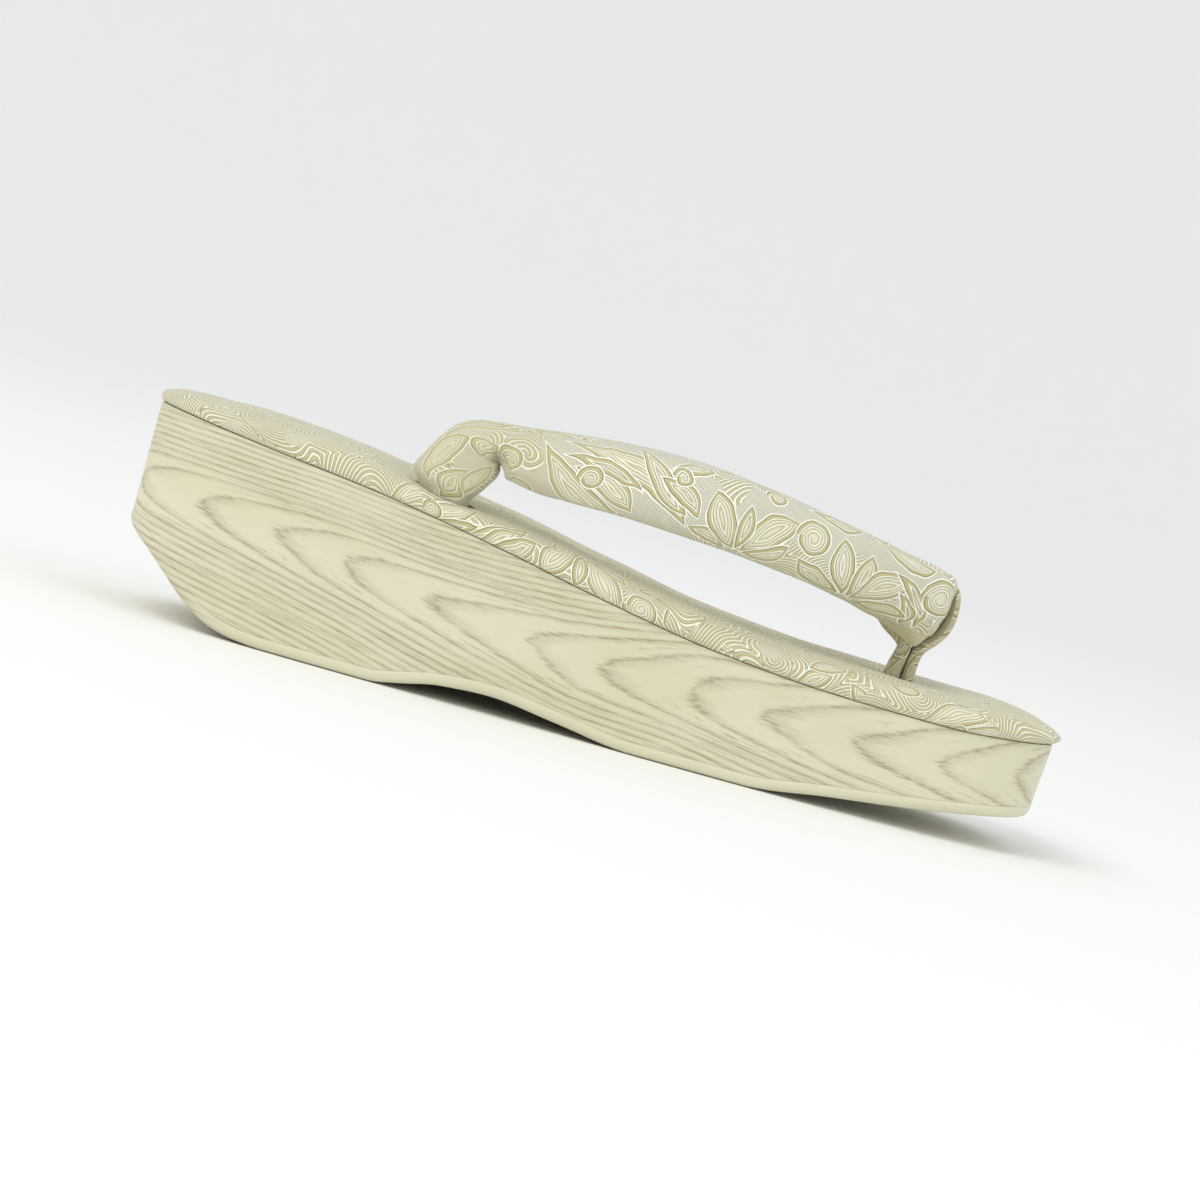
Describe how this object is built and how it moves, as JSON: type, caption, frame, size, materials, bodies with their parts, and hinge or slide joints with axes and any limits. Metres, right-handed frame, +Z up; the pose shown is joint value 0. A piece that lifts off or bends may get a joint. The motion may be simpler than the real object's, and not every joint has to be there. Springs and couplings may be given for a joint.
{
  "type": "zori sandal",
  "caption": "Zori sandal: a tall wedge-like platform with a wood-grain side, a padded brocade insole and a V-shaped padded brocade strap with a toe loop.",
  "frame": {"origin": "centre of the bounding box at floor level, under the middle of the sole", "axes": "+X from heel to toe, +Y to the wearer's left, +Z up"},
  "size_m": [0.242, 0.0842, 0.0731],
  "materials": {
    "sheet_rubber": "plain cream, satin",
    "wood_print": "cream sheet printed with a wood grain, satin",
    "brocade": "woven brocade in ivory, gold-khaki and silver-grey, slight sheen"
  },
  "bodies": {
    "root": {"outsole": "sheet_rubber", "sole": "wood_print", "insole": "brocade", "strap": "brocade", "toe_loop": "brocade"}
  },
  "joints": []
}
